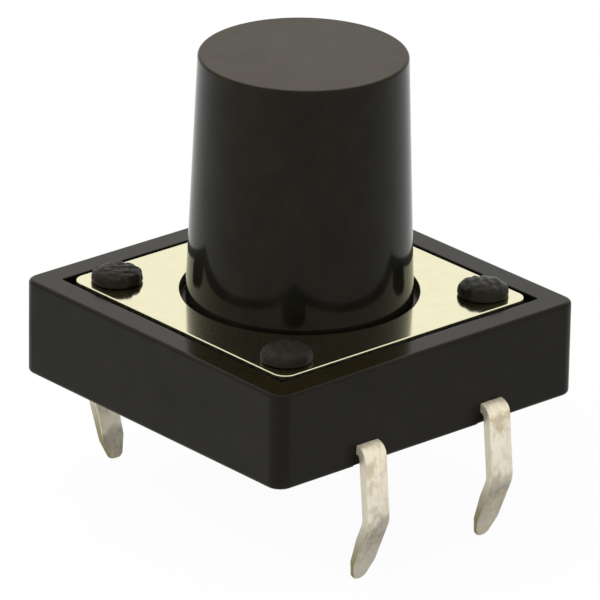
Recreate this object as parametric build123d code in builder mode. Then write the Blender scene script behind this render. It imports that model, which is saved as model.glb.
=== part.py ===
from build123d import *
import math
import os

# Tactile push button switch for a circuit board, in millimetres.
# The origin is the centre of the underside, which sits on the board, and +Z points to the button's top.
# Two contact strips are moulded into the base, and each comes out on +X and on -X as a folded pin.

# Housing, a square moulding with a raised rim
body_width = 12.0
body_height = 3.05
body_corner_radius = 0.5
top_edge_radius = 0.12
bottom_edge = 0.12
rim_width = 0.87
recess_corner_radius = 0.06

# Steel cover that lies in the rim's recess
cover_thickness = 0.3
cover_proud = 0.03
cover_gap = 0.17
cover_corner_radius = 0.45
cover_edge = 0.07
cover_hole_edge = 0.05
cover_land = 1.3

# Posts that are staked over the cover
stake_inset = 1.01
stake_diameter = 1.0
stake_hole_gap = 0.05
stake_head_diameter = 1.58
stake_head_height = 0.47
stake_head_top_edge = 0.24
stake_head_foot_edge = 0.08

# Plunger
overall_height = 10.7
plunger_taper = 0.29
plunger_edge = 0.09
plunger_hole_gap = 0.18
plunger_travel = 0.3
flange_overlap = 0.55
flange_thickness = 0.62
flange_edge = 0.1
flange_side_gap = 0.15
flange_top_gap = 0.02
stop_gap = 0.1
stop_ledge_width = 0.95
nub_diameter = 1.6
nub_edge = 0.2
nub_gap = 0.03

# Snap dome
dome_thickness = 0.1
dome_side_gap = 0.25

# Contact strips
strip_floor = 0.36
strip_thickness = 0.22
strip_width = 1.1
strip_end_inset = 0.8
arm_width = 1.0
pad_diameter = 0.7
pad_height = 0.14
window_length = 0.9
window_width = 0.6
window_inset = 1.7

# Pins, the folded ends of the strips; each reach is measured out from the housing's side
pin_pitch = 5.0
pin_width = 0.85
pin_length = 3.85
pin_shoulder_reach = 0.44
pin_belly_reach = 0.63
pin_tip_reach = -0.25
pin_belly_depth = 1.75
pin_bend_radius = 0.55
pin_kink_radius = 0.5
pin_taper_length = 0.6
pin_end_width = 0.36
pin_end_radius = 0.16
pin_notch_gap = 0.12
pin_notch_depth = 0.14

# Every cut runs this far past the face that it opens
overrun = 1.0

# Heights, from the board up
strip_top = strip_floor + strip_thickness
pad_top = strip_top + pad_height
dome_crown_floor = pad_top + plunger_travel
dome_crown_top = dome_crown_floor + dome_thickness
cover_top = body_height + cover_proud
cover_floor = cover_top - cover_thickness
flange_top = cover_floor - flange_top_gap
flange_floor = flange_top - flange_thickness
stop_ledge = flange_floor - plunger_travel - stop_gap
nub_floor = dome_crown_top + nub_gap

# Widths that follow from the fits
half_body = body_width / 2
recess_width = body_width - 2 * rim_width
cover_width = recess_width - 2 * cover_gap
stake_pitch = cover_width - 2 * stake_inset
stake_hole_radius = stake_diameter / 2 + stake_hole_gap
plunger_hole_radius = cover_width / 2 - cover_land
plunger_foot_radius = plunger_hole_radius - plunger_hole_gap
plunger_top_radius = plunger_foot_radius - plunger_taper
flange_radius = plunger_hole_radius + flange_overlap
flange_well_radius = flange_radius + flange_side_gap
dome_well_radius = flange_well_radius - stop_ledge_width
dome_radius = dome_well_radius - dome_side_gap
pin_row = pin_pitch / 2
strip_end = half_body - strip_end_inset
window_spacing = 2 * (strip_end - window_inset)

# The outer strip's three pads lie under the dome's edge, and the centre strip's pad under its crown
pad_circle = dome_radius - pad_diameter / 2 + dome_side_gap / 2
side_pads = [(-pad_circle, 0), (pad_circle, 0)]
front_pad = (0, -pad_circle)
centre_pad = (0, 0)


def arm(root, tip):
    """Flat arm of a strip with round ends, from one point to another."""
    middle = ((root[0] + tip[0]) / 2, (root[1] + tip[1]) / 2)
    SlotCenterPoint(middle, tip, arm_width)


# Outlines of the two flat strips, seen from above
with BuildSketch(Plane.XY.offset(strip_floor)) as centre_strip:
    with Locations((0, pin_row)):
        Rectangle(2 * strip_end, strip_width)
    arm((0, pin_row), centre_pad)

with BuildSketch(Plane.XY.offset(strip_floor)) as outer_strip:
    with Locations((0, -pin_row)):
        Rectangle(2 * strip_end, strip_width)
    for pad in side_pads:
        arm((pad[0], -pin_row), pad)
    arm((0, -pin_row), front_pad)

# End of a pin, seen along X, tapered to a rounded point
pin_end_slope = (pin_tip_reach - pin_belly_reach) / (pin_length - pin_belly_depth)
pin_taper_top = pin_taper_length - pin_length
with BuildSketch(Plane.YZ) as pin_end:
    with BuildLine():
        Polyline(
            (-pin_width / 2, pin_taper_top),
            (-pin_end_width / 2, -pin_length),
            (pin_end_width / 2, -pin_length),
            (pin_width / 2, pin_taper_top),
            close=True,
        )
    make_face()
    fillet(pin_end.vertices().group_by(Axis.Y)[0], pin_end_radius)


def terminal(strip, pads, row):
    """A flat strip with raised contact pads, whose two ends are folded down as pins."""
    with BuildPart() as piece:
        extrude(strip.sketch, amount=strip_thickness)
        with BuildSketch(Plane.XY.offset(strip_top)):
            with Locations(*pads):
                Circle(pad_diameter / 2)
        extrude(amount=pad_height)
        # Out of the wall, over the shoulder, down to the belly and in to the tip
        with BuildSketch(Plane.XZ.offset(-row)):
            with BuildLine():
                FilletPolyline(
                    (strip_end, strip_top),
                    (half_body + pin_shoulder_reach, strip_top),
                    (half_body + pin_belly_reach, -pin_belly_depth),
                    (half_body + pin_tip_reach + pin_end_slope * overrun, -pin_length - overrun),
                    radius=[pin_bend_radius, pin_kink_radius],
                )
                offset(amount=strip_thickness, side=Side.RIGHT)
            make_face()
        extrude(amount=pin_width / 2, both=True)
        mirror(about=Plane.YZ)
        # Both ends sheared to the same taper
        with BuildSketch(Plane.YZ):
            with Locations((row, pin_taper_top)):
                Rectangle(
                    pin_width + 2 * overrun,
                    pin_taper_length + 2 * overrun,
                    align=(Align.CENTER, Align.MAX),
                )
            with Locations((row, 0)):
                add(pin_end.sketch_local, mode=Mode.SUBTRACT)
        extrude(amount=body_width, both=True, mode=Mode.SUBTRACT)
    return piece


# One terminal has the fixed contact under the dome's crown, and the other carries the dome's edge
centre_terminal = terminal(centre_strip, [centre_pad], pin_row)
outer_terminal = terminal(outer_strip, [front_pad, *side_pads], -pin_row)

# Post of the base, with the head that is staked over the cover
with BuildPart() as stake:
    with BuildSketch(Plane.XY.offset(cover_floor)):
        Circle(stake_diameter / 2)
    extrude(amount=cover_thickness)
    with BuildSketch(Plane.XY.offset(cover_top)):
        Circle(stake_head_diameter / 2)
    extrude(amount=stake_head_height)
    head_rims = stake.edges().filter_by(GeomType.CIRCLE).sort_by(SortBy.RADIUS)[-2:]
    foot_rim, top_rim = head_rims.sort_by(Axis.Z)
    chamfer(foot_rim, stake_head_foot_edge)
    chamfer(top_rim, stake_head_top_edge)

# Base
with BuildPart() as base_housing:
    with BuildSketch():
        RectangleRounded(body_width, body_width, body_corner_radius)
    extrude(amount=body_height)
    fillet(base_housing.faces().sort_by(Axis.Z)[-1].edges(), top_edge_radius)
    chamfer(base_housing.faces().sort_by(Axis.Z)[0].edges(), bottom_edge)
    # Recess for the cover, well for the plunger's flange and well for the dome
    with BuildSketch(Plane.XY.offset(cover_floor)):
        RectangleRounded(recess_width, recess_width, recess_corner_radius)
    extrude(amount=overrun, mode=Mode.SUBTRACT)
    with BuildSketch(Plane.XY.offset(cover_floor)):
        Circle(flange_well_radius)
    extrude(amount=stop_ledge - cover_floor, mode=Mode.SUBTRACT)
    with BuildSketch(Plane.XY.offset(stop_ledge)):
        Circle(dome_well_radius)
    extrude(amount=strip_top - stop_ledge, mode=Mode.SUBTRACT)
    # Beds of the strips, with the necks of the pins through the side walls
    extrude(centre_strip.sketch, amount=strip_thickness, mode=Mode.SUBTRACT)
    extrude(outer_strip.sketch, amount=strip_thickness, mode=Mode.SUBTRACT)
    with BuildSketch(Plane.XY.offset(strip_floor)):
        with GridLocations(0, pin_pitch, 1, 2):
            Rectangle(body_width + 2 * overrun, pin_width)
    extrude(amount=strip_thickness, mode=Mode.SUBTRACT)
    # Notches round the pins in the lower edge of the sides
    with BuildSketch():
        with GridLocations(body_width, pin_pitch, 2, 2):
            Rectangle(2 * pin_notch_depth, pin_width + 2 * pin_notch_gap)
    extrude(amount=strip_top + pin_notch_gap, mode=Mode.SUBTRACT)
    # Windows in the underside where the mould held the strips
    with BuildSketch():
        with GridLocations(window_spacing, pin_pitch, 2, 2):
            Rectangle(window_length, window_width)
    extrude(amount=strip_floor, mode=Mode.SUBTRACT)
    with GridLocations(stake_pitch, stake_pitch, 2, 2):
        add(stake.part)

# Cover
with BuildPart() as cover_plate:
    with BuildSketch(Plane.XY.offset(cover_floor)):
        RectangleRounded(cover_width, cover_width, cover_corner_radius)
        Circle(plunger_hole_radius, mode=Mode.SUBTRACT)
        with GridLocations(stake_pitch, stake_pitch, 2, 2):
            Circle(stake_hole_radius, mode=Mode.SUBTRACT)
    extrude(amount=cover_thickness)
    cover_face = cover_plate.faces().sort_by(Axis.Z)[-1]
    chamfer(cover_face.outer_wire().edges(), cover_edge)
    hole_rims = cover_plate.edges().filter_by(GeomType.CIRCLE).sort_by(SortBy.RADIUS)[-2:]
    chamfer(hole_rims.sort_by(Axis.Z)[-1], cover_hole_edge)

# Plunger, turned about its axis
with BuildPart() as plunger:
    with BuildSketch(Plane.XZ):
        with BuildLine():
            Polyline(
                (0, nub_floor),
                (nub_diameter / 2, nub_floor),
                (nub_diameter / 2, flange_floor),
                (flange_radius, flange_floor),
                (flange_radius, flange_top),
                (plunger_foot_radius, flange_top),
                (plunger_foot_radius, cover_top),
                (plunger_top_radius, overall_height),
                (0, overall_height),
                close=True,
            )
        make_face()
    revolve(axis=Axis.Z)
    rings = plunger.edges().filter_by(GeomType.CIRCLE).sort_by(Axis.Z)
    chamfer(rings[-1], plunger_edge)
    chamfer(rings[0], nub_edge)
    flange_rims = plunger.edges().filter_by(GeomType.CIRCLE).sort_by(SortBy.RADIUS)[-2:]
    chamfer(flange_rims, flange_edge)

# Snap dome, a thin cap of a sphere
dome_rise = dome_crown_floor - pad_top
dome_sphere_radius = (dome_radius**2 + dome_rise**2) / (2 * dome_rise)
dome_sphere_centre = (0, dome_crown_floor - dome_sphere_radius)
dome_half_angle = math.degrees(math.asin(dome_radius / dome_sphere_radius))
with BuildPart() as contact_dome:
    with BuildSketch(Plane.XZ):
        with BuildLine():
            inner = CenterArc(dome_sphere_centre, dome_sphere_radius, 90 - dome_half_angle, dome_half_angle)
            outer = CenterArc(
                dome_sphere_centre,
                dome_sphere_radius + dome_thickness,
                90 - dome_half_angle,
                dome_half_angle,
            )
            Line(inner @ 0, outer @ 0)
            Line(inner @ 1, outer @ 1)
        make_face()
    revolve(axis=Axis.Z)

pieces = {
    "base_housing": base_housing,
    "cover_plate": cover_plate,
    "plunger": plunger,
    "contact_dome": contact_dome,
    "centre_terminal": centre_terminal,
    "outer_terminal": outer_terminal,
}

os.makedirs("parts", exist_ok=True)
for name, piece in pieces.items():
    piece.part.label = name
    export_step(piece.part, f"parts/{name}.step")
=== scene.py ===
"""Looks of the push button switch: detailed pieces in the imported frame, studio and camera."""

import math

import bmesh
import bpy
import numpy as np
from mathutils import Matrix, Vector, noise


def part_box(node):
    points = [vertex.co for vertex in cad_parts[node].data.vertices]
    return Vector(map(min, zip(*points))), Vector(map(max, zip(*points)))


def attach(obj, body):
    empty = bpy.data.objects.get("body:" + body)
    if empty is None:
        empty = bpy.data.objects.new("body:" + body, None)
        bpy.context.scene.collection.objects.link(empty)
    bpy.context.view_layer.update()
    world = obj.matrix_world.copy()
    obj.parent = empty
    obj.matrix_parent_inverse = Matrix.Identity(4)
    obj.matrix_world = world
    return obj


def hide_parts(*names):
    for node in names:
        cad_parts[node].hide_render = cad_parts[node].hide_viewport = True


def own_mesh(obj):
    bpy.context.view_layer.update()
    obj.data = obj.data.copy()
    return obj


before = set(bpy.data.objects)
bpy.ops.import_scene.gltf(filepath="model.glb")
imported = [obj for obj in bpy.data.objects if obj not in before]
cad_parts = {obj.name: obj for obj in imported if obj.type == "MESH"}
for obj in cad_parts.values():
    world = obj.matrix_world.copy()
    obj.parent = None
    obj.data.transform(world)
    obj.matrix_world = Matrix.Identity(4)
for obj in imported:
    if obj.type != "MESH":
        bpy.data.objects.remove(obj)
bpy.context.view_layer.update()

scene = bpy.context.scene

MM = 0.001


def box_mm(node):
    """Lowest and highest corner of a CAD node, in millimetres."""
    low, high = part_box(node)
    return np.array(low) / MM, np.array(high) / MM


housing_high = box_mm("base_housing")[1]
cover_low, cover_high = box_mm("cover_plate")
plunger_low, plunger_high = box_mm("plunger")
dome_low, dome_high = box_mm("contact_dome")
terminal_low = box_mm("centre_terminal")[0]

# All sizes are in millimetres, and the main ones come from the frame

# Housing
BODY_HALF = housing_high[0]
BODY_TOP = 3.05
BODY_CORNER = 0.5
TOP_EDGE = 0.12
BOTTOM_EDGE = 0.12
RIM_WIDTH = 0.87
RIM_EDGE = 0.04
RECESS_CORNER = 0.06
WELL_RADIUS = 4.36
LEDGE_RADIUS = 3.41
LEDGE_HEIGHT = 1.74
FLOOR_HEIGHT = 0.58
NOTCH_GAP = 0.09
NOTCH_RISE = 0.06
NOTCH_DEPTH = 0.14
WINDOW_LENGTH = 0.9
WINDOW_WIDTH = 0.6
WINDOW_PLACE = 3.5
WINDOW_RISE = 0.05

# Cover plate
COVER_HALF = cover_high[0]
COVER_FLOOR = cover_low[2]
COVER_TOP = cover_high[2]
COVER_CORNER = 0.45
COVER_EDGE = 0.035
COVER_FOOT_EDGE = 0.03
COVER_FOOT_STEPS = 2
HOLE_RADIUS = 3.66
HOLE_EDGE = 0.05

# Posts and their staked heads
STAKE_PLACE = 3.95
STAKE_HOLE = 0.55
STAKE_HOLE_SEGMENTS = 48
STAKE_POST = 0.5
STAKE_POST_MARGIN = 0.01
STAKE_SUNK = 0.04
STAKE_RADIUS = 0.79
STAKE_TOP = housing_high[2]
STAKE_WAIST = 0.14
STAKE_FULL = 0.72
STAKE_CLEAR = 0.004
STAKE_FOOT_ROUND = 0.09
STAKE_FOOT_LIFT = 0.01
STAKE_FOOT_FROM = -80
STAKE_FOOT_STEPS = 6
STAKE_DOME_FROM = 3
STAKE_RINGS = 34
STAKE_SEGMENTS = 96

# Plunger
PLUNGER_FLOOR = plunger_low[2]
PLUNGER_TOP = plunger_high[2]
PLUNGER_FOOT_RADIUS = 3.48
PLUNGER_TOP_RADIUS = 3.19
PLUNGER_EDGE = 0.09
PLUNGER_FOOT_ROUND = 2.0
PLUNGER_STEPS = 10
PLUNGER_SEGMENTS = 160
CROWN_INNER_RADIUS = 0.2
CROWN_RINGS = 8
FLANGE_RADIUS = plunger_high[0]
FLANGE_TOP = 2.76
FLANGE_FLOOR = 2.14
FLANGE_EDGE = 0.1
NUB_RADIUS = 0.8
NUB_EDGE = 0.2
NUB_FROM = -75
NUB_STEPS = 5

# Snap dome
DOME_INSET = 0.02
DOME_RADIUS = dome_high[0] - DOME_INSET
DOME_THICKNESS = 0.1
DOME_RISE = dome_high[2] - dome_low[2] - DOME_THICKNESS
DOME_RINGS = 18
DOME_SEGMENTS = 96

# Contact strips
STRIP_FLOOR = 0.36
STRIP_WIDTH = 1.1
STRIP_SUNK = 0.01
STRIP_PROUD = 0.02
STRIP_END = 5.2
ARM_WIDTH = 1.0
ARM_STEPS = 16
PAD_RADIUS = 0.35
PAD_CIRCLE = 2.935
PAD_TOP = dome_low[2]
PAD_SUNK = 0.1
PAD_FOOT_EDGE = 0.0001
PAD_EDGE = 0.07
PAD_SEGMENTS = 32

# Pins; each reach is measured out from the housing's side
PIN_ROW = 2.5
PIN_WIDTH = 0.86
PIN_THICKNESS = 0.31
PIN_TIP_THICKNESS = 0.15
PIN_THINNED = 1.5
PIN_EDGE = 0.045
PIN_EDGE_SHARE = 0.6
PIN_OVERLAP = 0.3
PIN_SHOULDER = 0.70
PIN_SHOULDER_REACH = 0.38
PIN_BELLY = -1.75
PIN_BELLY_REACH = 0.63
PIN_BOTTOM = terminal_low[2]
PIN_TIP_REACH = -0.25
PIN_FOLD_ROUND = 0.42
PIN_KINK_ROUND = 0.9
PIN_FULL_WIDTH_FROM = 1.2
PIN_TAPER_LENGTH = 0.66
PIN_TAPER_ROUND = 0.3
PIN_END_HALF = 0.23
PIN_END_ROUND = 0.21
PIN_BEND_STEPS = 14
PIN_END_STEPS = 12
PIN_STATION_START = 0.1
PIN_STATION_STEP = 0.12
PIN_STATION_ROOM = 0.04
PIN_STATION_DIGITS = 5
PIN_STATION_SLACK = 1e-6

# Meshing: an extra ring beside each rounded edge, how far a cut runs past the face that it
# opens, and the steps round edges and corners
SUPPORT = 0.02
OVERRUN = 1.0
FINE_STEPS = 8
EDGE_STEPS = 4
CORNER_STEPS = 10
SIDE_STEPS = 30


def fillet_path(points, radii, steps):
    """Points of a line whose inner corners are rounded to the given radii."""
    line = [np.array(points[0], float)]
    for before, corner, after, radius in zip(points, points[1:], points[2:], radii):
        corner = np.array(corner, float)
        back = np.array(before, float) - corner
        on = np.array(after, float) - corner
        back /= np.linalg.norm(back)
        on /= np.linalg.norm(on)
        turn = math.pi - math.acos(np.clip(back @ on, -1, 1))
        middle = (back + on) / np.linalg.norm(back + on)
        centre = corner + middle * radius / math.cos(turn / 2)
        start = corner + back * radius * math.tan(turn / 2) - centre
        end = corner + on * radius * math.tan(turn / 2) - centre
        for share in np.linspace(0, 1, steps + 1):
            first = math.sin((1 - share) * turn) / math.sin(turn)
            second = math.sin(share * turn) / math.sin(turn)
            line.append(centre + first * start + second * end)
    line.append(np.array(points[-1], float))
    return np.array(line)


def loft(rings, closed=False):
    """Vertices and faces of a skin over rings of equal length, capped or joined at its ends."""
    count = len(rings[0])
    verts = [tuple(p) for ring in rings for p in ring]
    faces = []
    steps = len(rings) if closed else len(rings) - 1
    for r in range(steps):
        low = r * count
        high = ((r + 1) % len(rings)) * count
        for k in range(count):
            j = (k + 1) % count
            faces.append((low + k, low + j, high + j, high + k))
    if not closed:
        faces.append(tuple(range(count - 1, -1, -1)))
        faces.append(tuple(range((len(rings) - 1) * count, len(rings) * count)))
    return verts, faces


def lathe(profile, segments):
    """Vertices and faces of a profile of (radius, height) turned about Z."""
    verts, faces, rings = [], [], []
    angles = np.linspace(0, 2 * math.pi, segments, endpoint=False)
    for radius, height in profile:
        start = len(verts)
        if radius == 0:
            verts.append((0.0, 0.0, height))
            rings.append([start] * segments)
        else:
            verts += [(radius * math.cos(a), radius * math.sin(a), height) for a in angles]
            rings.append(list(range(start, start + segments)))
    for low, high in zip(rings, rings[1:]):
        for k in range(segments):
            j = (k + 1) % segments
            corners = [low[k], low[j], high[j], high[k]]
            faces.append(tuple(dict.fromkeys(corners)))
    return verts, faces


def square_ring(half, radius, height):
    """Anticlockwise ring of a square with round corners, with as many points at any size."""
    points = []
    straight = half - radius
    for quarter in range(4):
        turn = quarter * math.pi / 2
        side = [(half, y) for y in np.linspace(-straight, straight, SIDE_STEPS + 1)]
        arc = [
            (straight + radius * math.cos(a), straight + radius * math.sin(a))
            for a in np.linspace(0, math.pi / 2, CORNER_STEPS + 1)[1:-1]
        ]
        for x, y in side + arc:
            points.append((
                x * math.cos(turn) - y * math.sin(turn),
                x * math.sin(turn) + y * math.cos(turn),
                height,
            ))
    return points


RING_ANGLES = [math.atan2(y, x) for x, y, z in square_ring(BODY_HALF, BODY_CORNER, 0)]


def round_ring(radius, height):
    """Circle whose points face those of the square rings."""
    return [(radius * math.cos(a), radius * math.sin(a), height) for a in RING_ANGLES]


def prism(outline, floor, top):
    """Solid between two heights over an outline that runs anticlockwise."""
    return loft([[(x, y, z) for x, y in outline] for z in (floor, top)])


def arc_points(centre, radius, start, end, steps):
    """Points along an arc between two angles in degrees."""
    return [
        (centre[0] + radius * math.cos(a), centre[1] + radius * math.sin(a))
        for a in np.radians(np.linspace(start, end, steps + 1))
    ]


def rectangle(centre, length, width):
    """Anticlockwise corners of a rectangle with its length along X."""
    x, y = centre
    return [
        (x - length / 2, y - width / 2), (x + length / 2, y - width / 2),
        (x + length / 2, y + width / 2), (x - length / 2, y + width / 2),
    ]


def solid(name, verts, faces):
    """New object in millimetres; finished() scales it to the frame."""
    mesh = bpy.data.meshes.new(name)
    mesh.from_pydata([tuple(map(float, v)) for v in verts], [], faces)
    mesh.update()
    obj = bpy.data.objects.new(name, mesh)
    scene.collection.objects.link(obj)
    return obj


def cut(obj, tool, operation="DIFFERENCE", keep_tool=False):
    """Applies an exact boolean of tool to obj."""
    step = obj.modifiers.new("cut", "BOOLEAN")
    step.object = tool
    step.operation = operation
    step.solver = "EXACT"
    bpy.context.view_layer.update()
    shaped = obj.evaluated_get(bpy.context.evaluated_depsgraph_get())
    made = bpy.data.meshes.new_from_object(shaped)
    obj.modifiers.clear()
    old = obj.data
    obj.data = made
    bpy.data.meshes.remove(old)
    if not keep_tool:
        bpy.data.objects.remove(tool)


SLIVER = 1e-5


def drop_slivers(obj):
    """Takes out the faces without area that the cuts leave where two walls touch."""
    mesh = bmesh.new()
    mesh.from_mesh(obj.data)
    bmesh.ops.dissolve_degenerate(mesh, edges=mesh.edges, dist=SLIVER)
    seen = {}
    for face in mesh.faces:
        seen.setdefault(frozenset(face.verts), []).append(face)
    twins = [face for faces in seen.values() if len(faces) > 1 for face in faces]
    bmesh.ops.delete(mesh, geom=twins, context="FACES")
    mesh.to_mesh(obj.data)
    mesh.free()


def finished(obj, body, materials, nodes=(), sharp=40):
    """Scales a piece to metres, smooths it up to the sharp angle and puts it in the frame."""
    obj.data.transform(Matrix.Scale(MM, 4))
    for material in materials:
        obj.data.materials.append(material)
    obj.data.shade_smooth()
    obj.data.set_sharp_from_angle(angle=math.radians(sharp))
    weigh = obj.modifiers.new("normals", "WEIGHTED_NORMAL")
    weigh.keep_sharp = True
    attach(obj, body)
    if nodes:
        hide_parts(*nodes)
    return obj


class Shader:
    """A node material under construction."""

    def __init__(self, name):
        self.material = bpy.data.materials.new(name)
        self.material.use_nodes = True
        self.nodes = self.material.node_tree.nodes
        self.links = self.material.node_tree.links
        self.surface = self.nodes["Principled BSDF"]
        coordinates = self.nodes.new("ShaderNodeTexCoord")
        self.place = coordinates.outputs["Object"]
        self.facing = coordinates.outputs["Normal"]

    def set(self, socket, value):
        """Gives a socket of the surface one value all over."""
        self.surface.inputs[socket].default_value = value

    def link(self, output, socket):
        """Feeds a socket of the surface from a node."""
        self.links.new(output, self.surface.inputs[socket])

    def noise(self, size_mm, detail=2.0, rough=0.5, stretch=None):
        """Noise whose features are about size_mm across, from 0 to 1."""
        node = self.nodes.new("ShaderNodeTexNoise")
        node.inputs["Scale"].default_value = 1 / (size_mm * MM)
        node.inputs["Detail"].default_value = detail
        node.inputs["Roughness"].default_value = rough
        vector = self.place
        if stretch:
            mapping = self.nodes.new("ShaderNodeMapping")
            mapping.inputs["Scale"].default_value = stretch
            self.links.new(self.place, mapping.inputs["Vector"])
            vector = mapping.outputs["Vector"]
        self.links.new(vector, node.inputs["Vector"])
        return node.outputs["Fac"]

    def ramp(self, value, stops):
        """Colour ramp over (position, colour) stops."""
        node = self.nodes.new("ShaderNodeValToRGB")
        elements = node.color_ramp.elements
        while len(elements) < len(stops):
            elements.new(1.0)
        for element, (position, colour) in zip(elements, stops):
            element.position = position
            element.color = (*colour, 1.0)
        self.links.new(value, node.inputs["Fac"])
        return node.outputs["Color"]

    def range(self, value, given, wanted):
        """Value remapped from the given range to the wanted one, clamped."""
        node = self.nodes.new("ShaderNodeMapRange")
        sockets = ("From Min", "From Max", "To Min", "To Max")
        for socket, number in zip(sockets, (*given, *wanted)):
            node.inputs[socket].default_value = number
        self.links.new(value, node.inputs["Value"])
        return node.outputs["Result"]

    def math(self, operation, first, second):
        """Result of a math node on two values, each a number or an output."""
        node = self.nodes.new("ShaderNodeMath")
        node.operation = operation
        for socket, value in zip(node.inputs, (first, second)):
            if isinstance(value, (int, float)):
                socket.default_value = value
            else:
                self.links.new(value, socket)
        return node.outputs["Value"]

    def mix(self, factor, first, second):
        """Mix of two colours, by the output of a node."""
        node = self.nodes.new("ShaderNodeMix")
        node.data_type = "RGBA"
        for name, value in (("Factor_Float", factor), ("A_Color", first), ("B_Color", second)):
            socket = next(s for s in node.inputs if s.identifier == name)
            if isinstance(value, tuple):
                socket.default_value = (*value, 1.0)
            else:
                self.links.new(value, socket)
        return next(s for s in node.outputs if s.identifier == "Result_Color")

    def axis(self, name):
        """Place in the object along X, Y or Z, in metres."""
        node = self.nodes.new("ShaderNodeSeparateXYZ")
        self.links.new(self.place, node.inputs["Vector"])
        return node.outputs[name]

    def upward(self):
        """1 on faces that look straight up, 0 on upright ones."""
        node = self.nodes.new("ShaderNodeSeparateXYZ")
        self.links.new(self.facing, node.inputs["Vector"])
        return self.range(node.outputs["Z"], (0.7, 0.97), (0.0, 1.0))

    def wander(self, size_mm, detail, rough, reach_mm):
        """Uneven shift of a border, about half of reach_mm to each side, in metres."""
        centred = self.math("SUBTRACT", self.noise(size_mm, detail, rough), 0.5)
        return self.math("MULTIPLY", centred, reach_mm * MM)

    def bump(self, value, depth_mm, normal=None):
        """Normal of a relief of the given depth, laid over another one."""
        node = self.nodes.new("ShaderNodeBump")
        node.inputs["Strength"].default_value = 1.0
        node.inputs["Distance"].default_value = depth_mm * MM
        self.links.new(value, node.inputs["Height"])
        if normal is not None:
            self.links.new(normal, node.inputs["Normal"])
        return node.outputs["Normal"]


def shaded(colour, share):
    """Colour made darker or lighter by a share."""
    return tuple(share * c for c in colour)


MIDDLE = (0.3, 0.7)
ALONG_Z = (1.0, 1.0, 0.1)
PLASTIC_GLOSS_TINT = (1.0, 0.95, 0.8, 1.0)
MOULD_WAVE_DEPTH = 0.004


def black_plastic(name, tint, dust_and_sheen, rough, top_rough, shine, grain_mm, grain_depth_mm):
    """Moulded black plastic: cloudy tone, fine grain, and a dull lighter tone on faces that
    look up, partly dirt and partly painted sheen.
    """
    s = Shader(name)
    tones = [(0.3, shaded(tint, 0.75)), (0.7, shaded(tint, 1.3))]
    body = s.ramp(s.noise(0.9, detail=4.0, rough=0.6), tones)
    # Faces that look up get a lighter, warmer tone: partly dirt lying on top, partly painted
    # sheen of light glancing off the top.
    layers = [(0.3, shaded(dust_and_sheen, 0.8)), (0.7, shaded(dust_and_sheen, 1.2))]
    top_dust_and_sheen = s.ramp(s.noise(0.35, detail=5.0, rough=0.65), layers)
    upward = s.upward()
    s.link(s.mix(upward, body, top_dust_and_sheen), "Base Color")
    cloud = s.range(s.noise(1.6, detail=3.0, rough=0.55), MIDDLE, (0.85, 1.2))
    gloss = s.range(upward, (0.0, 1.0), (rough, top_rough))
    s.link(s.math("MULTIPLY", cloud, gloss), "Roughness")
    grain = s.bump(s.noise(grain_mm, detail=3.0, rough=0.6), grain_depth_mm)
    wave = s.noise(2.2, detail=1.0, rough=0.4)
    s.link(s.bump(wave, MOULD_WAVE_DEPTH, grain), "Normal")
    s.set("Specular IOR Level", shine)
    s.set("Specular Tint", PLASTIC_GLOSS_TINT)
    return s.material


def bright_plate(name):
    """Bright rolled sheet: mirror with a fine rolled grain and slight waves."""
    s = Shader(name)
    s.set("Metallic", 1.0)
    tones = [(0.25, (0.845, 0.80, 0.53)), (0.75, (0.903, 0.852, 0.58))]
    s.link(s.ramp(s.noise(0.5, detail=4.0, rough=0.6), tones), "Base Color")
    haze = s.noise(0.35, detail=4.0, rough=0.65)
    s.link(s.range(haze, (0.25, 0.75), (0.07, 0.13)), "Roughness")
    rolled = s.bump(s.noise(0.05, stretch=(1.0, 0.12, 1.0)), depth_mm=0.00012)
    s.link(s.bump(s.noise(1.8, detail=1.0, rough=0.4), 0.0022, rolled), "Normal")
    return s.material


def sheared_steel_and_shade(name):
    """Cut edge of the sheet: dark and dull, scored along the punch's way; its dark tone is
    partly the cut and partly painted shade of the gap round the plunger.
    """
    s = Shader(name)
    s.set("Metallic", 1.0)
    # Painted shade: the dark tones also stand for the shade in the narrow gap between the hole
    # and the plunger.
    tones = [(0.3, (0.097, 0.088, 0.06)), (0.7, (0.233, 0.214, 0.144))]
    scored = s.noise(0.08, detail=3.0, rough=0.6, stretch=(1.0, 1.0, 0.2))
    s.link(s.ramp(scored, tones), "Base Color")
    s.link(s.range(s.noise(0.2, detail=3.0, rough=0.6), MIDDLE, (0.4, 0.55)), "Roughness")
    relief = s.noise(0.05, detail=3.0, rough=0.6, stretch=ALONG_Z)
    s.link(s.bump(relief, depth_mm=0.004), "Normal")
    return s.material


TIN_STAIN = (0.485, 0.38, 0.24)
TIN_BLOTCH = (0.535, 0.485, 0.36)
TIN_STREAK = (0.535, 0.465, 0.32)


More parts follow.
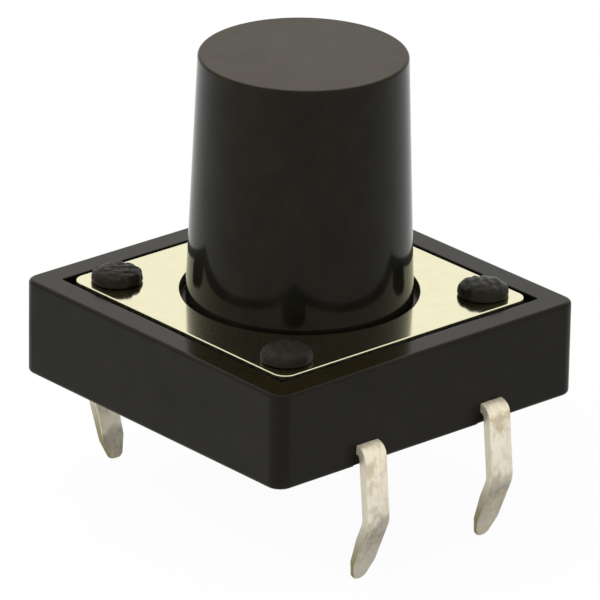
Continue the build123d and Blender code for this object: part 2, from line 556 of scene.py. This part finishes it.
def plated_pin(name):
    """Tinned strip: cream and matt by the housing, grey and blotched towards the tip.

    The grey towards the tip is painted shade; on the pins of the -X side it starts further
    down, which paints them lighter there.
    """
    s = Shader(name)
    s.set("Metallic", 0.4)
    wander = s.wander(0.7, detail=3.0, rough=0.6, reach_mm=1.6)
    # Painted light: the pins on the -X side are lighter further down.
    painted_light_minus_x = s.range(s.axis("X"), (-5 * MM, 5 * MM), (1.3 * MM, 0.0))
    height = s.math("ADD", s.math("ADD", s.axis("Z"), wander), painted_light_minus_x)
    level = s.range(height, (-3.4 * MM, 0.6 * MM), (0.0, 1.0))
    # Painted shade: cream by the housing, darkening to grey further down, darkest about the
    # lower bend.
    tone = s.ramp(level, [
        (0.0, (0.46, 0.427, 0.345)),
        (0.14, (0.37, 0.346, 0.277)),
        (0.30, (0.23, 0.22, 0.172)),
        (0.40, (0.38, 0.358, 0.29)),
        (0.50, (0.78, 0.72, 0.58)),
        (0.8, (0.85, 0.785, 0.635)),
        (1.0, (0.90, 0.83, 0.62)),
    ])
    blotch = s.range(s.noise(0.30, detail=5.0, rough=0.7), (0.50, 0.68), (0.0, 0.5))
    tone = s.mix(blotch, tone, TIN_BLOTCH)
    stain = s.range(s.noise(0.75, detail=4.0, rough=0.65), (0.53, 0.66), (0.0, 0.65))
    tone = s.mix(stain, tone, TIN_STAIN)
    lines = s.noise(0.17, detail=3.0, rough=0.6, stretch=(1.0, 1.0, 0.07))
    streak = s.range(lines, (0.48, 0.68), (0.0, 0.5))
    s.link(s.mix(streak, tone, TIN_STREAK), "Base Color")
    s.link(s.range(s.noise(0.3, detail=4.0, rough=0.6), MIDDLE, (0.36, 0.55)), "Roughness")
    drawn = s.bump(s.noise(0.07, detail=3.0, rough=0.6, stretch=ALONG_Z), depth_mm=0.003)
    s.link(s.bump(s.noise(0.35, detail=3.0, rough=0.55), 0.014, drawn), "Normal")
    return s.material


SHEAR_STREAK = (0.29, 0.25, 0.144)


def sheared_brass(name):
    """Edge of the strip: grey plating above, made darker than the faces as painted shade along
    the pin's edge; bare olive brass at the trimmed end.
    """
    s = Shader(name)
    s.set("Metallic", 0.5)
    wander = s.wander(0.3, detail=2.0, rough=0.5, reach_mm=0.6)
    height = s.math("ADD", s.axis("Z"), wander)
    level = s.range(height, (-3.9 * MM, -1.6 * MM), (0.0, 1.0))
    # The grey above is darker than the plating on the faces: painted shade along the pin's
    # edge.
    tone = s.ramp(level, [
        (0.0, (0.126, 0.112, 0.024)),
        (0.3, (0.194, 0.172, 0.056)),
        (0.45, (0.27, 0.245, 0.15)),
        (0.75, (0.44, 0.405, 0.31)),
        (1.0, (0.70, 0.65, 0.52)),
    ])
    lines = s.noise(0.05, detail=3.0, rough=0.6, stretch=(1.0, 1.0, 0.15))
    streak = s.range(lines, (0.35, 0.75), (0.0, 0.35))
    s.link(s.mix(streak, tone, SHEAR_STREAK), "Base Color")
    s.link(s.range(level, (0.0, 1.0), (0.45, 0.36)), "Roughness")
    relief = s.noise(0.04, detail=3.0, rough=0.6, stretch=(0.2, 1.0, 0.25))
    s.link(s.bump(relief, depth_mm=0.004), "Normal")
    return s.material


def spring_steel(name):
    """Bright spring strip with a fine rolled grain."""
    s = Shader(name)
    s.set("Metallic", 1.0)
    tones = [(0.3, (0.60, 0.58, 0.53)), (0.7, (0.72, 0.70, 0.66))]
    s.link(s.ramp(s.noise(0.6, detail=3.0, rough=0.6), tones), "Base Color")
    s.link(s.range(s.noise(0.2, detail=3.0, rough=0.6), MIDDLE, (0.16, 0.26)), "Roughness")
    s.link(s.bump(s.noise(0.05, stretch=(1.0, 0.1, 1.0)), depth_mm=0.0006), "Normal")
    return s.material


# The colour given for faces that look up is partly dirt and partly painted sheen.
housing_plastic = black_plastic(
    "housing_plastic", tint=(0.0048, 0.0044, 0.0029), dust_and_sheen=(0.012, 0.0096, 0.004),
    rough=0.36, top_rough=0.13, shine=0.135, grain_mm=0.10, grain_depth_mm=0.0016)
plunger_plastic = black_plastic(
    "plunger_plastic", tint=(0.0070, 0.0066, 0.0046), dust_and_sheen=(0.030, 0.0215, 0.010),
    rough=0.11, top_rough=0.25, shine=0.12, grain_mm=0.14, grain_depth_mm=0.0004)
stake_plastic = black_plastic(
    "stake_plastic", tint=(0.0145, 0.0133, 0.0095), dust_and_sheen=(0.020, 0.0183, 0.0132),
    rough=0.42, top_rough=0.34, shine=0.08, grain_mm=0.06, grain_depth_mm=0.004)
cover_steel = bright_plate("cover_steel")
cover_shear_and_gap_shade = sheared_steel_and_shade("cover_shear_and_gap_shade")
dome_steel = spring_steel("dome_steel")
pin_plating = plated_pin("pin_plating")
pin_edge_and_shade = sheared_brass("pin_edge_and_shade")


def pin_outer_face():
    """Line of the outer face of a pin on the +X side, as (x, z) from the strip to the tip."""
    return fillet_path(
        [
            (STRIP_END - PIN_OVERLAP, PIN_SHOULDER),
            (BODY_HALF + PIN_SHOULDER_REACH, PIN_SHOULDER),
            (BODY_HALF + PIN_BELLY_REACH, PIN_BELLY),
            (BODY_HALF + PIN_TIP_REACH, PIN_BOTTOM),
        ],
        [PIN_FOLD_ROUND, PIN_KINK_ROUND], PIN_BEND_STEPS,
    )


def pin_half_widths():
    """Half width against distance from the tip, for the tapered and rounded end."""
    return fillet_path(
        [
            (PIN_WIDTH / 2, PIN_FULL_WIDTH_FROM),
            (PIN_WIDTH / 2, PIN_TAPER_LENGTH),
            (PIN_END_HALF, 0),
            (0, 0),
        ],
        [PIN_TAPER_ROUND, PIN_END_ROUND], PIN_END_STEPS,
    )[1:-1]


def pin_section(half, thickness, edge, steps=3):
    """Closed section of a pin, as (across, depth), rounded on its four edges."""
    corners = [
        (-half + edge, edge, 180), (half - edge, edge, 270),
        (half - edge, thickness - edge, 0), (-half + edge, thickness - edge, 90),
    ]
    points = []
    for x, d, start in corners:
        points += arc_points((x, d), edge, start, start + 90, steps)
    return points


def pin_stations(along, widths):
    """Distances along a pin that get a ring, none so near a bend's rings that they cross."""
    length = along[-1]
    stations = set(np.round(along, PIN_STATION_DIGITS))
    stations |= set(np.round(length - widths[:, 1], PIN_STATION_DIGITS))
    between = np.arange(PIN_STATION_START, length, PIN_STATION_STEP)
    stations |= {
        round(s, PIN_STATION_DIGITS)
        for s in between if np.abs(along - s).min() > PIN_STATION_ROOM
    }
    last = length - widths[-1, 1] + PIN_STATION_SLACK
    return sorted(s for s in stations if s <= last)


def pin(side, row):
    """Pin on one side, swept along the line of its outer face."""
    line = pin_outer_face()
    steps = np.linalg.norm(np.diff(line, axis=0), axis=1)
    along = np.concatenate([[0], np.cumsum(steps)])
    widths = pin_half_widths()
    stations = pin_stations(along, widths)
    x = np.interp(stations, along, line[:, 0])
    z = np.interp(stations, along, line[:, 1])
    from_tip = along[-1] - np.array(stations)
    half = np.interp(from_tip, widths[::-1, 1], widths[::-1, 0])
    thickness = np.interp(from_tip, [0, PIN_THINNED], [PIN_TIP_THICKNESS, PIN_THICKNESS])
    rings = []
    for k in range(len(stations)):
        a, b = max(k - 1, 0), min(k + 1, len(stations) - 1)
        tangent = np.array([x[b] - x[a], z[b] - z[a]])
        tangent /= np.linalg.norm(tangent)
        inward = np.array([tangent[1], -tangent[0]])
        edge = min(PIN_EDGE, half[k] * PIN_EDGE_SHARE)
        ring = []
        for across, depth in pin_section(half[k], thickness[k], edge):
            p = np.array([x[k], z[k]]) + inward * depth
            ring.append((side * p[0], row + across, p[1]))
        rings.append(ring if side > 0 else ring[::-1])
    return solid("pin", *loft(rings))


def strip_outline(pads, row):
    """Outline of the flat strip seen from above, anticlockwise, with its arms."""
    near, far = row - STRIP_WIDTH / 2, row + STRIP_WIDTH / 2
    reach = ARM_WIDTH / 2
    if row > 0:
        return (
            [(-STRIP_END, near), (-reach, near)]
            + arc_points(pads[0], reach, 180, 360, ARM_STEPS)
            + [(reach, near), (STRIP_END, near), (STRIP_END, far), (-STRIP_END, far)]
        )
    left, right, front = pads
    foot = math.degrees(math.asin((front[1] - row + STRIP_WIDTH / 2) / reach))
    return (
        [(-STRIP_END, near)]
        + arc_points(front, reach, 180 + foot, 360 - foot, ARM_STEPS)
        + [(STRIP_END, near), (STRIP_END, far), (right[0] + reach, far)]
        + arc_points(right, reach, 0, 180, ARM_STEPS)
        + [(right[0] - reach, far), (left[0] + reach, far)]
        + arc_points(left, reach, 0, 180, ARM_STEPS)
        + [(left[0] - reach, far), (-STRIP_END, far)]
    )


def terminal(name, pads, row):
    """Contact strip with its pads and two pins, as one closed mesh."""
    outline = strip_outline(pads, row)
    strip = solid(name, *prism(outline, STRIP_FLOOR - STRIP_SUNK, FLOOR_HEIGHT + STRIP_PROUD))
    pad_floor = FLOOR_HEIGHT - PAD_SUNK
    for x, y in pads:
        profile = fillet_path(
            [(0, pad_floor), (PAD_RADIUS, pad_floor), (PAD_RADIUS, PAD_TOP), (0, PAD_TOP)],
            [PAD_FOOT_EDGE, PAD_EDGE], EDGE_STEPS,
        )
        pad = solid("pad", *lathe([(max(r, 0), z) for r, z in profile], PAD_SEGMENTS))
        pad.data.transform(Matrix.Translation((x, y, 0)))
        cut(strip, pad, "UNION")
    for side in (1, -1):
        cut(strip, pin(side, row), "UNION")
    return strip


SIDE_PADS = [(-PAD_CIRCLE, 0.0), (PAD_CIRCLE, 0.0)]
centre_terminal = terminal("centre_terminal_strip", [(0.0, 0.0)], PIN_ROW)
outer_terminal = terminal("outer_terminal_strip", [*SIDE_PADS, (0.0, -PAD_CIRCLE)], -PIN_ROW)


def corner_arc(half, z, radius, start, end, steps):
    """(half width, height) along a rounded edge, about a centre inside the edge."""
    return arc_points((half, z), radius, start, end, steps)


def housing():
    """Square body with its rim, the recess for the cover and the well under it."""
    rings = []
    recess = BODY_HALF - RIM_WIDTH
    outer = corner_arc(BODY_HALF - BOTTOM_EDGE, BOTTOM_EDGE, BOTTOM_EDGE, -90, 0, EDGE_STEPS)
    outer += [(BODY_HALF, BOTTOM_EDGE + SUPPORT), (BODY_HALF, BODY_TOP - TOP_EDGE - SUPPORT)]
    outer += corner_arc(BODY_HALF - TOP_EDGE, BODY_TOP - TOP_EDGE, TOP_EDGE, 0, 90, FINE_STEPS)
    outer += [(BODY_HALF - TOP_EDGE - SUPPORT, BODY_TOP)]
    for half, z in outer:
        rings.append(square_ring(half, BODY_CORNER - (BODY_HALF - half), z))
    inner = [(recess + RIM_EDGE + SUPPORT, BODY_TOP)]
    inner += corner_arc(recess + RIM_EDGE, BODY_TOP - RIM_EDGE, RIM_EDGE, 90, 180, EDGE_STEPS)
    for half, z in inner:
        rings.append(square_ring(half, RECESS_CORNER + half - recess, z))
    rings.append(square_ring(recess, RECESS_CORNER, COVER_FLOOR))
    rings.append(round_ring(WELL_RADIUS, COVER_FLOOR))
    rings.append(round_ring(WELL_RADIUS, LEDGE_HEIGHT))
    rings.append(round_ring(LEDGE_RADIUS, LEDGE_HEIGHT))
    rings.append(round_ring(LEDGE_RADIUS, FLOOR_HEIGHT))
    return solid("base_housing_shell", *loft(rings))


shell = housing()
for side in (1, -1):
    for row in (PIN_ROW, -PIN_ROW):
        notch = rectangle((side * BODY_HALF, row), 2 * NOTCH_DEPTH, PIN_WIDTH + 2 * NOTCH_GAP)
        cut(shell, solid("notch", *prism(notch, -OVERRUN, STRIP_FLOOR + NOTCH_RISE)))
        window = rectangle((side * WINDOW_PLACE, row), WINDOW_LENGTH, WINDOW_WIDTH)
        cut(shell, solid("window", *prism(window, -OVERRUN, STRIP_FLOOR + WINDOW_RISE)))
for strip in (centre_terminal, outer_terminal):
    cut(shell, strip, keep_tool=True)
drop_slivers(shell)


# Marks of the staking tool: a worn waffle of ribs and cross marks, over lumps and grit. Each
# scale is in waves per millimetre, and each layer moves a head's seed to a noise of its own.
WAFFLE_PITCH = 0.3
CROSS_PITCH = WAFFLE_PITCH * 1.2
WAFFLE_TURN = math.radians(-28)
RIB_SHIFT, CROSS_SHIFT = 0.04, 0.03
BEND_DEPTH, BEND_SCALE, BEND_LAYER = 0.09, 1.4, 3.1
WEAR_SCALE, WEAR_LAYER = 2.1, 7.3
WEAR_MEAN, WEAR_SWING, WEAR_MOST = 0.75, 0.9, 1.2
GRIT_SCALE, GRIT_LAYER = 5, 5.0
FINE_GRIT_SHARE, FINE_GRIT_SCALE, FINE_GRIT_LAYER = 0.4, 11, 9.0
LUMP_SCALE = 1.6
LUMP_DENT, EVEN_DENT = 0.02, 0.01
LUMP_SWELL, RIPPLE_SWELL, RIPPLE_SCALE = 0.03, 0.02, 4
MARKS_FROM, MARKS_FADE = 0.1, 0.16
MARKS_CORE = 0.2


def groove(distance, pitch):
    """Depth from 0 on a ridge to 1 in a groove."""
    return 0.5 - 0.5 * math.cos(2 * math.pi * distance / pitch)


def uneven(x, y, z):
    """Smooth noise at a place, from about -1 to 1."""
    return noise.noise(Vector((x, y, z)))


def stake_profile():
    """Post and squat dome as (radius, height), from the post's foot to the head's top."""
    floor, foot = COVER_FLOOR - STAKE_SUNK, COVER_TOP + STAKE_CLEAR
    inner = STAKE_RADIUS - STAKE_FOOT_ROUND
    profile = [(0, floor), (STAKE_POST, floor), (STAKE_POST, foot), (inner, foot)]
    lifted = COVER_TOP + STAKE_FOOT_ROUND + STAKE_FOOT_LIFT
    profile += corner_arc(inner, lifted, STAKE_FOOT_ROUND, STAKE_FOOT_FROM, 0, STAKE_FOOT_STEPS)
    waist = COVER_TOP + STAKE_WAIST
    for a in np.radians(np.linspace(STAKE_DOME_FROM, 90, STAKE_RINGS)):
        radius = STAKE_RADIUS * max(math.cos(a), 0) ** STAKE_FULL
        profile.append((radius, waist + (STAKE_TOP - waist) * math.sin(a) ** STAKE_FULL))
    profile[-1] = (0, STAKE_TOP)
    return profile


def stake(x, y, seed, ribs, cross, lumps):
    """Post and head with the marks of the tool that staked it."""
    verts, faces = lathe(stake_profile(), STAKE_SEGMENTS)
    waist = COVER_TOP + STAKE_WAIST
    core = Vector((0, 0, COVER_TOP - MARKS_CORE))
    moved = []
    for vx, vy, vz in verts:
        spot = Vector((vx, vy, vz))
        high = float(np.clip((vz - COVER_TOP - MARKS_FROM) / MARKS_FADE, 0, 1))
        lump = uneven(vx * LUMP_SCALE + seed, vy * LUMP_SCALE, vz * LUMP_SCALE)
        along = vx * math.cos(WAFFLE_TURN) + vy * math.sin(WAFFLE_TURN)
        across = -vx * math.sin(WAFFLE_TURN) + vy * math.cos(WAFFLE_TURN)
        bend = BEND_DEPTH * uneven(vx * BEND_SCALE, vy * BEND_SCALE, seed * BEND_LAYER)
        worn = uneven(vx * WEAR_SCALE, vy * WEAR_SCALE, seed * WEAR_LAYER)
        wear = np.clip(WEAR_MEAN + WEAR_SWING * worn, 0, WEAR_MOST)
        marks = wear * (
            ribs * groove(across + bend + RIB_SHIFT * seed, WAFFLE_PITCH)
            + cross * groove(along - bend + CROSS_SHIFT * seed, CROSS_PITCH)
        )
        grit = lumps * uneven(
            vx * GRIT_SCALE, vy * GRIT_SCALE, seed * GRIT_LAYER + vz * GRIT_SCALE)
        grit += FINE_GRIT_SHARE * lumps * uneven(
            vx * FINE_GRIT_SCALE, vy * FINE_GRIT_SCALE,
            seed * FINE_GRIT_LAYER + vz * FINE_GRIT_SCALE)
        down = high * max(marks + EVEN_DENT + LUMP_DENT * lump + grit, 0)
        spot -= (spot - core).normalized() * float(down)
        ripple = uneven(vx * RIPPLE_SCALE, vy * RIPPLE_SCALE, seed + vz * RIPPLE_SCALE)
        swell = LUMP_SWELL * lump + RIPPLE_SWELL * ripple
        on_head = math.hypot(vx, vy) > STAKE_POST + STAKE_POST_MARGIN or vz > waist
        spread = 1 + swell * on_head
        moved.append((x + spot.x * spread, y + spot.y * spread, spot.z))
    return moved, faces


# Left, front, right and back head: place, seed, and depth of the ribs, cross marks and lumps.
# The right one was staked a little off its place.
STAKES = [
    (-STAKE_PLACE, -STAKE_PLACE, 1.7, 0.02, 0.02, 0.045),
    (STAKE_PLACE, -STAKE_PLACE, 2.7, 0.015, 0.01, 0.03),
    (3.88, 4.02, 3.7, 0.035, 0.006, 0.012),
    (-STAKE_PLACE, STAKE_PLACE, 4.7, 0.03, 0.02, 0.02),
]
head_verts, head_faces = [], []
for x, y, *marks in STAKES:
    made, joined = stake(x, y, *marks)
    head_faces += [tuple(i + len(head_verts) for i in face) for face in joined]
    head_verts += made
heads = solid("stake_heads", head_verts, head_faces)


def cover():
    """Cover plate with its round hole; the holes for the posts are cut later."""
    rings = []
    outer = corner_arc(
        COVER_HALF - COVER_FOOT_EDGE, COVER_FLOOR + COVER_FOOT_EDGE, COVER_FOOT_EDGE,
        -90, 0, COVER_FOOT_STEPS)
    outer += [(COVER_HALF, COVER_TOP - COVER_EDGE - SUPPORT)]
    outer += corner_arc(
        COVER_HALF - COVER_EDGE, COVER_TOP - COVER_EDGE, COVER_EDGE, 0, 90, FINE_STEPS)
    outer += [(COVER_HALF - COVER_EDGE - SUPPORT, COVER_TOP)]
    for half, z in outer:
        rings.append(square_ring(half, COVER_CORNER - (COVER_HALF - half), z))
    inner = [(HOLE_RADIUS + HOLE_EDGE + SUPPORT, COVER_TOP)]
    inner += corner_arc(
        HOLE_RADIUS + HOLE_EDGE, COVER_TOP - HOLE_EDGE, HOLE_EDGE, 90, 180, EDGE_STEPS)
    inner += [(HOLE_RADIUS, COVER_TOP - HOLE_EDGE - SUPPORT)]
    inner += [(HOLE_RADIUS, COVER_FLOOR + COVER_FOOT_EDGE)]
    inner += [(HOLE_RADIUS + COVER_FOOT_EDGE, COVER_FLOOR)]
    for radius, z in inner:
        rings.append(round_ring(radius, z))
    return solid("cover_sheet", *loft(rings, closed=True))


sheet = cover()
for x in (-STAKE_PLACE, STAKE_PLACE):
    for y in (-STAKE_PLACE, STAKE_PLACE):
        circle = arc_points(
            (x, y), STAKE_HOLE, 0, 360 - 360 / STAKE_HOLE_SEGMENTS, STAKE_HOLE_SEGMENTS - 1)
        cut(sheet, solid("hole", *prism(circle, COVER_FLOOR - OVERRUN, COVER_TOP + OVERRUN)))


def button():
    """Tapered plunger with its flange under the cover and the nub that presses the dome."""
    taper = fillet_path(
        [
            (PLUNGER_FOOT_RADIUS, FLANGE_TOP),
            (PLUNGER_FOOT_RADIUS, COVER_TOP),
            (PLUNGER_TOP_RADIUS, PLUNGER_TOP),
            (0, PLUNGER_TOP),
        ],
        [PLUNGER_FOOT_ROUND, PLUNGER_EDGE], PLUNGER_STEPS,
    )
    nub, flange = NUB_RADIUS - NUB_EDGE, FLANGE_RADIUS - FLANGE_EDGE
    low = [(0, PLUNGER_FLOOR), (nub, PLUNGER_FLOOR)]
    low += corner_arc(nub, PLUNGER_FLOOR + NUB_EDGE, NUB_EDGE, NUB_FROM, 0, NUB_STEPS)
    low += [(NUB_RADIUS, FLANGE_FLOOR)]
    low += corner_arc(flange, FLANGE_FLOOR + FLANGE_EDGE, FLANGE_EDGE, -90, 0, EDGE_STEPS)
    low += corner_arc(flange, FLANGE_TOP - FLANGE_EDGE, FLANGE_EDGE, 0, 90, EDGE_STEPS)
    side = [tuple(p) for p in taper[:-1]]
    radii = np.linspace(side[-1][0] - SUPPORT, CROWN_INNER_RADIUS, CROWN_RINGS)
    top = [(r, PLUNGER_TOP) for r in radii] + [(0, PLUNGER_TOP)]
    return solid("plunger_button", *lathe(low + side + top, PLUNGER_SEGMENTS))


def cap():
    """Snap dome as a thin cap, with its foot on the pads."""
    sphere = (DOME_RADIUS**2 + DOME_RISE**2) / (2 * DOME_RISE)
    middle = PAD_TOP + DOME_RISE - sphere
    angles = np.linspace(0, math.asin(DOME_RADIUS / sphere), DOME_RINGS)
    inner, outer = (
        [(r * math.sin(a), middle + r * math.cos(a)) for a in angles]
        for r in (sphere, sphere + DOME_THICKNESS)
    )
    profile = [(0, inner[0][1])] + inner[1:] + outer[:0:-1] + [(0, outer[0][1])]
    return solid("contact_dome_cap", *lathe(profile, DOME_SEGMENTS))


plunger = button()
dome = cap()

# Limits on a face's normal by which it counts as a cut wall of the cover (Z), a narrow edge of
# a strip (Y) or the end of a pin (X), and how high above its bottom that end reaches
WALL_LIMIT = 0.3
EDGE_LIMIT = 0.8
TIP_LIMIT = 0.75
TIP_HEIGHT = 0.25

finished(shell, "switch_base", [housing_plastic], ["base_housing"])
finished(heads, "switch_base", [stake_plastic], sharp=70)
finished(sheet, "switch_base", [cover_steel, cover_shear_and_gap_shade], ["cover_plate"])
# Cut walls, the hole's wall among them, take the dark edge material with its painted shade.
for face in sheet.data.polygons:
    face.material_index = 1 if abs(face.normal.z) < WALL_LIMIT else 0
finished(plunger, "button", [plunger_plastic], ["plunger"])
finished(dome, "switch_base", [dome_steel], ["contact_dome"])
for obj, node in ((centre_terminal, "centre_terminal"), (outer_terminal, "outer_terminal")):
    finished(obj, "switch_base", [pin_plating, pin_edge_and_shade], [node], sharp=50)
    for face in obj.data.polygons:
        narrow = abs(face.normal.y) > EDGE_LIMIT
        low = face.center.z < (PIN_BOTTOM + TIP_HEIGHT) * MM
        tip = low and abs(face.normal.x) < TIP_LIMIT
        face.material_index = 1 if narrow or tip else 0
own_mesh(dome)

WHITE = (1, 1, 1, 1)
PAPER = (0.85, 0.85, 0.85, 1)
PAPER_GLOW = 0.955
FLOOR_HALF = 1500.0


def plain_world():
    """White surroundings that light the switch evenly."""
    world = bpy.data.worlds.new("studio")
    scene.world = world
    world.use_nodes = True
    surroundings = world.node_tree.nodes["Background"]
    surroundings.inputs["Color"].default_value = WHITE
    surroundings.inputs["Strength"].default_value = 1.0


def paper_material():
    """Pale paper that the camera and reflections see as white with a faint shadow."""
    paper = bpy.data.materials.new("paper")
    paper.use_nodes = True
    nodes, links = paper.node_tree.nodes, paper.node_tree.links
    nodes.clear()
    matt = nodes.new("ShaderNodeBsdfDiffuse")
    matt.inputs["Color"].default_value = PAPER
    glow = nodes.new("ShaderNodeEmission")
    glow.inputs["Color"].default_value = WHITE
    ray = nodes.new("ShaderNodeLightPath")
    seen = ray.outputs["Is Camera Ray"]
    for kind in ("Is Glossy Ray", "Is Transmission Ray"):
        either = nodes.new("ShaderNodeMath")
        either.operation = "MAXIMUM"
        links.new(seen, either.inputs[0])
        links.new(ray.outputs[kind], either.inputs[1])
        seen = either.outputs[0]
    share = nodes.new("ShaderNodeMath")
    share.operation = "MULTIPLY"
    share.inputs[1].default_value = PAPER_GLOW
    links.new(seen, share.inputs[0])
    choose = nodes.new("ShaderNodeMixShader")
    links.new(share.outputs[0], choose.inputs["Fac"])
    links.new(matt.outputs[0], choose.inputs[1])
    links.new(glow.outputs[0], choose.inputs[2])
    output = nodes.new("ShaderNodeOutputMaterial")
    links.new(choose.outputs[0], output.inputs["Surface"])
    return paper


plain_world()
floor_corners = rectangle((0, 0), 2 * FLOOR_HALF, 2 * FLOOR_HALF)
floor = solid("floor", [(x, y, PIN_BOTTOM) for x, y in floor_corners], [(0, 1, 2, 3)])
floor.data.transform(Matrix.Scale(MM, 4))
floor.data.materials.append(paper_material())

KEY_PLACE = Vector((-60, -110, 120))
KEY_AIM = Vector((0, 0, 3))
KEY_SIZE = 70
KEY_WATTS = 0.12

lamp = bpy.data.lights.new("key", "AREA")
lamp.shape = "DISK"
lamp.size = KEY_SIZE * MM
lamp.energy = KEY_WATTS
key = bpy.data.objects.new("key", lamp)
key.location = KEY_PLACE * MM
key.rotation_mode = "QUATERNION"
key.rotation_quaternion = (KEY_AIM - KEY_PLACE).to_track_quat("-Z", "Y")
key.visible_glossy = False
scene.collection.objects.link(key)

# The camera stands at the photograph's angle; lengths are in millimetres
AZIMUTH, ELEVATION, ROLL = (math.radians(a) for a in (48.58, 22.59, 0.98))
DISTANCE = 221.0
FOCAL_PIXELS = 7271.0
IMAGE_PIXELS = 600
OFFSET = (-0.003, -1.2155)
AIM = Vector((0, 0, 4.0))
SENSOR_WIDTH = 36.0
CLIP_START, CLIP_END = 10.0, 10000.0

back = Vector((
    math.sin(AZIMUTH) * math.cos(ELEVATION),
    -math.cos(AZIMUTH) * math.cos(ELEVATION),
    math.sin(ELEVATION),
))
level = Vector((math.cos(AZIMUTH), math.sin(AZIMUTH), 0))
upright = back.cross(level)
right = math.cos(ROLL) * level + math.sin(ROLL) * upright
up = math.cos(ROLL) * upright - math.sin(ROLL) * level
camera_data = bpy.data.cameras.new("camera")
camera_data.sensor_width = SENSOR_WIDTH
camera_data.lens = FOCAL_PIXELS / IMAGE_PIXELS * SENSOR_WIDTH
camera_data.clip_start = CLIP_START * MM
camera_data.clip_end = CLIP_END * MM
camera = bpy.data.objects.new("camera", camera_data)
place = (AIM + right * OFFSET[0] + up * OFFSET[1] + back * DISTANCE) * MM
turned = Matrix((right, up, back)).transposed().to_4x4()
camera.matrix_world = Matrix.Translation(place) @ turned
scene.collection.objects.link(camera)
scene.camera = camera

scene.view_settings.view_transform = "Standard"
